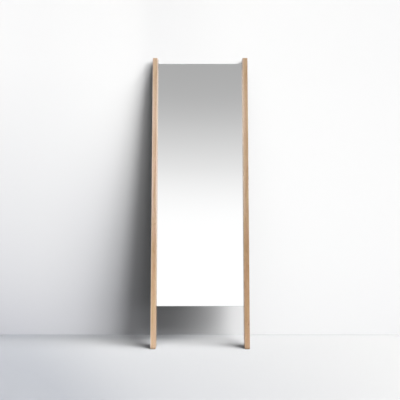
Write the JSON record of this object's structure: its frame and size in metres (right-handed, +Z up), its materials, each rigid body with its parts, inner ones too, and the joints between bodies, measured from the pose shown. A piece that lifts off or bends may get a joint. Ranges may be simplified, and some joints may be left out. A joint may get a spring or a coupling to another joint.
{
  "type": "leaning floor mirror",
  "caption": "Full-length floor mirror that leans on a wall: a frameless pane held in grooves between two square-cut oak posts, with rails, foot pads and bumpers behind.",
  "frame": {"origin": "on the floor, under the middle of the whole mirror, half way between the front of the feet and the wall", "axes": "+X to the viewer's right, +Y towards the wall, +Z up; the mirror faces -Y"},
  "size_m": [0.6, 0.2636, 1.7914],
  "materials": {
    "oak": "satin, oiled",
    "birch_dowel": "plain",
    "silvered_glass": "polished",
    "film": "matt",
    "foam_tape": "closed-cell foam",
    "board": "bare fibreboard",
    "rubber_pad": "matt",
    "rubber_block": "matt",
    "zinc_steel": "zinc plated",
    "cast_zinc": "die cast"
  },
  "bodies": {
    "root": {"backing_board": "board", "board_screws": "zinc_steel", "bottom_rail": "oak", "bumper_screws": "zinc_steel", "cam_bolts": "zinc_steel", "cam_locks": "cast_zinc", "foot_pad_screws": "zinc_steel", "keyhole_screws": "zinc_steel", "left_foot_pad": "rubber_pad", "left_keyhole_plate": "zinc_steel", "left_post": "oak", "left_wall_bumper": "rubber_pad", "middle_rail": "oak", "mirror_glass": "silvered_glass", "mounting_tapes": "foam_tape", "rail_dowels": "birch_dowel", "right_foot_pad": "rubber_pad", "right_keyhole_plate": "zinc_steel", "right_post": "oak", "right_wall_bumper": "rubber_pad", "safety_film": "film", "setting_blocks": "rubber_block", "top_rail": "oak"}
  },
  "joints": []
}
